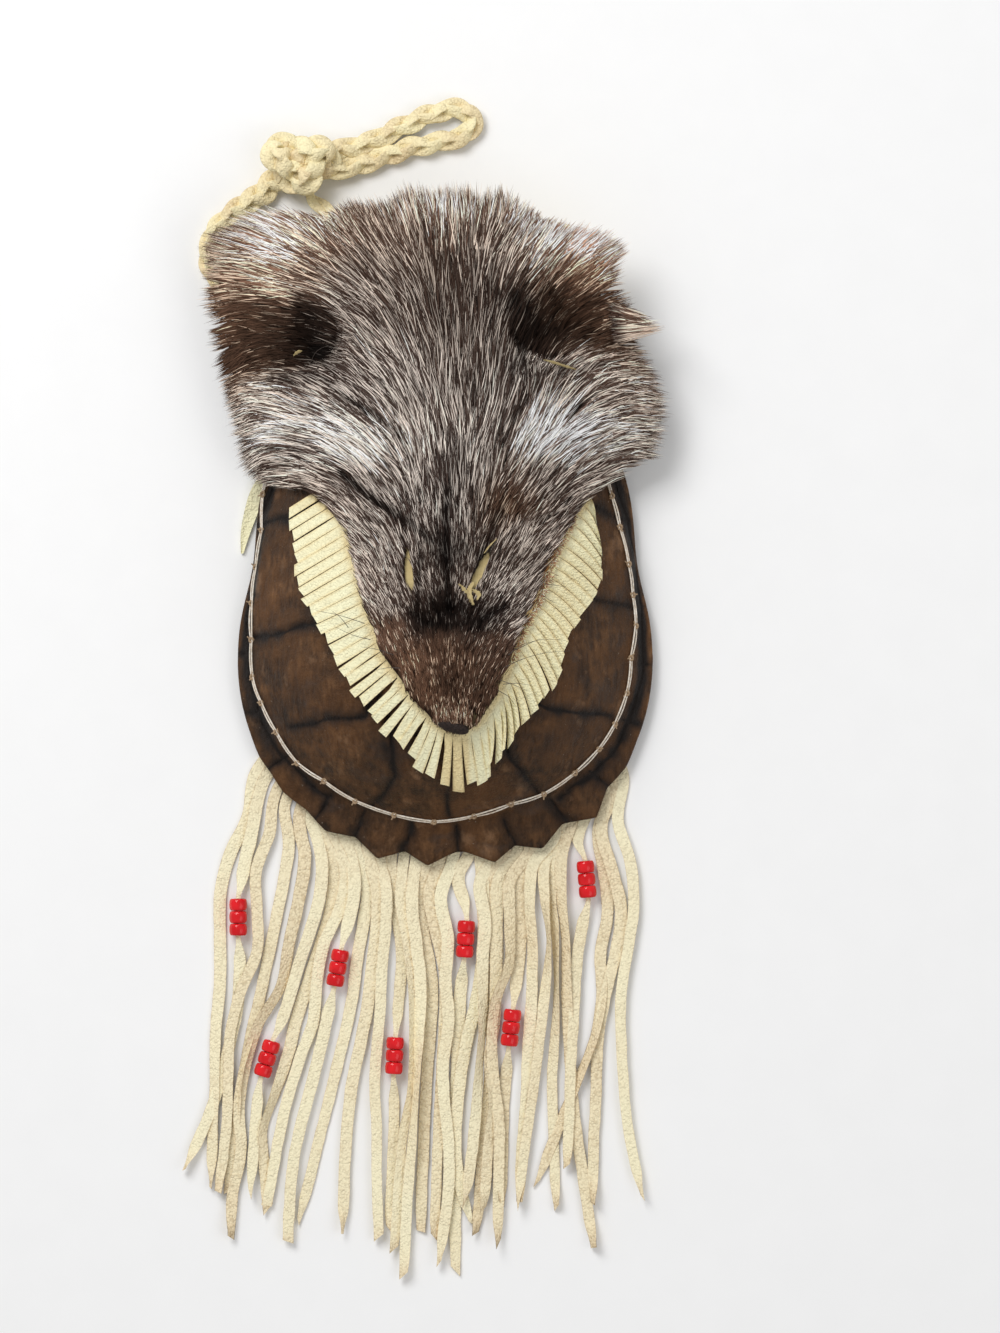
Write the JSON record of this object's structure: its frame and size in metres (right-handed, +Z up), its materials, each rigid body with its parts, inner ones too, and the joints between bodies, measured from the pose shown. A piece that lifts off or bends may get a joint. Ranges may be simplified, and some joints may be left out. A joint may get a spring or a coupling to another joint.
{
  "type": "fringed hide pouch",
  "caption": "Fringed pouch with a turtle shell front, a fox-face fur flap, a buckskin lining and fringe, glass beads and a braided strap loop.",
  "frame": {"origin": "where the pouch rests on its back: the underside of the back panel, below the middle of the flap's face", "axes": "+X across the pouch, to the right as the face looks up; +Y from the fringe to the strap; +Z up through the carapace"},
  "size_m": [0.2375, 0.5902, 0.0801],
  "materials": {
    "carapace_horn": "dry dark horn with a slight sheen",
    "fox_fur": "silver-tipped long fur",
    "lining_buckskin": "pale grain buckskin",
    "fringe_buckskin": "suede buckskin",
    "back_buckskin": "suede buckskin",
    "pale_buckskin": "pale grain buckskin",
    "strap_buckskin": "braided buckskin",
    "waxed_sinew": "waxed sinew",
    "red_bead": "glossy glass"
  },
  "bodies": {
    "pouch": {"back_panel": "back_buckskin", "carapace": "carapace_horn", "sinew_lacing": "waxed_sinew", "long_fringe": "fringe_buckskin", "side_thong_end": "pale_buckskin", "strap_left_leg": "strap_buckskin", "strap_right_leg": "strap_buckskin", "strap_knot": "strap_buckskin", "strap_loop": "strap_buckskin", "bead_1a": "red_bead", "bead_1b": "red_bead", "bead_1c": "red_bead", "bead_2a": "red_bead", "bead_2b": "red_bead", "bead_2c": "red_bead", "bead_3a": "red_bead", "bead_3b": "red_bead", "bead_3c": "red_bead", "bead_4a": "red_bead", "bead_4b": "red_bead", "bead_4c": "red_bead", "bead_5a": "red_bead", "bead_5b": "red_bead", "bead_5c": "red_bead", "bead_6a": "red_bead", "bead_6b": "red_bead", "bead_6c": "red_bead", "bead_7a": "red_bead", "bead_7b": "red_bead", "bead_7c": "red_bead"},
    "flap": {"fur_flap": "fox_fur", "fringed_lining": "lining_buckskin"}
  },
  "joints": [
    {"name": "flap_hinge", "type": "hinge", "parent": "pouch", "child": "flap", "pos_m": [0, 0.186, 0.0472], "axis": [-1, 0, 0], "range_deg": [0, 150]}
  ]
}
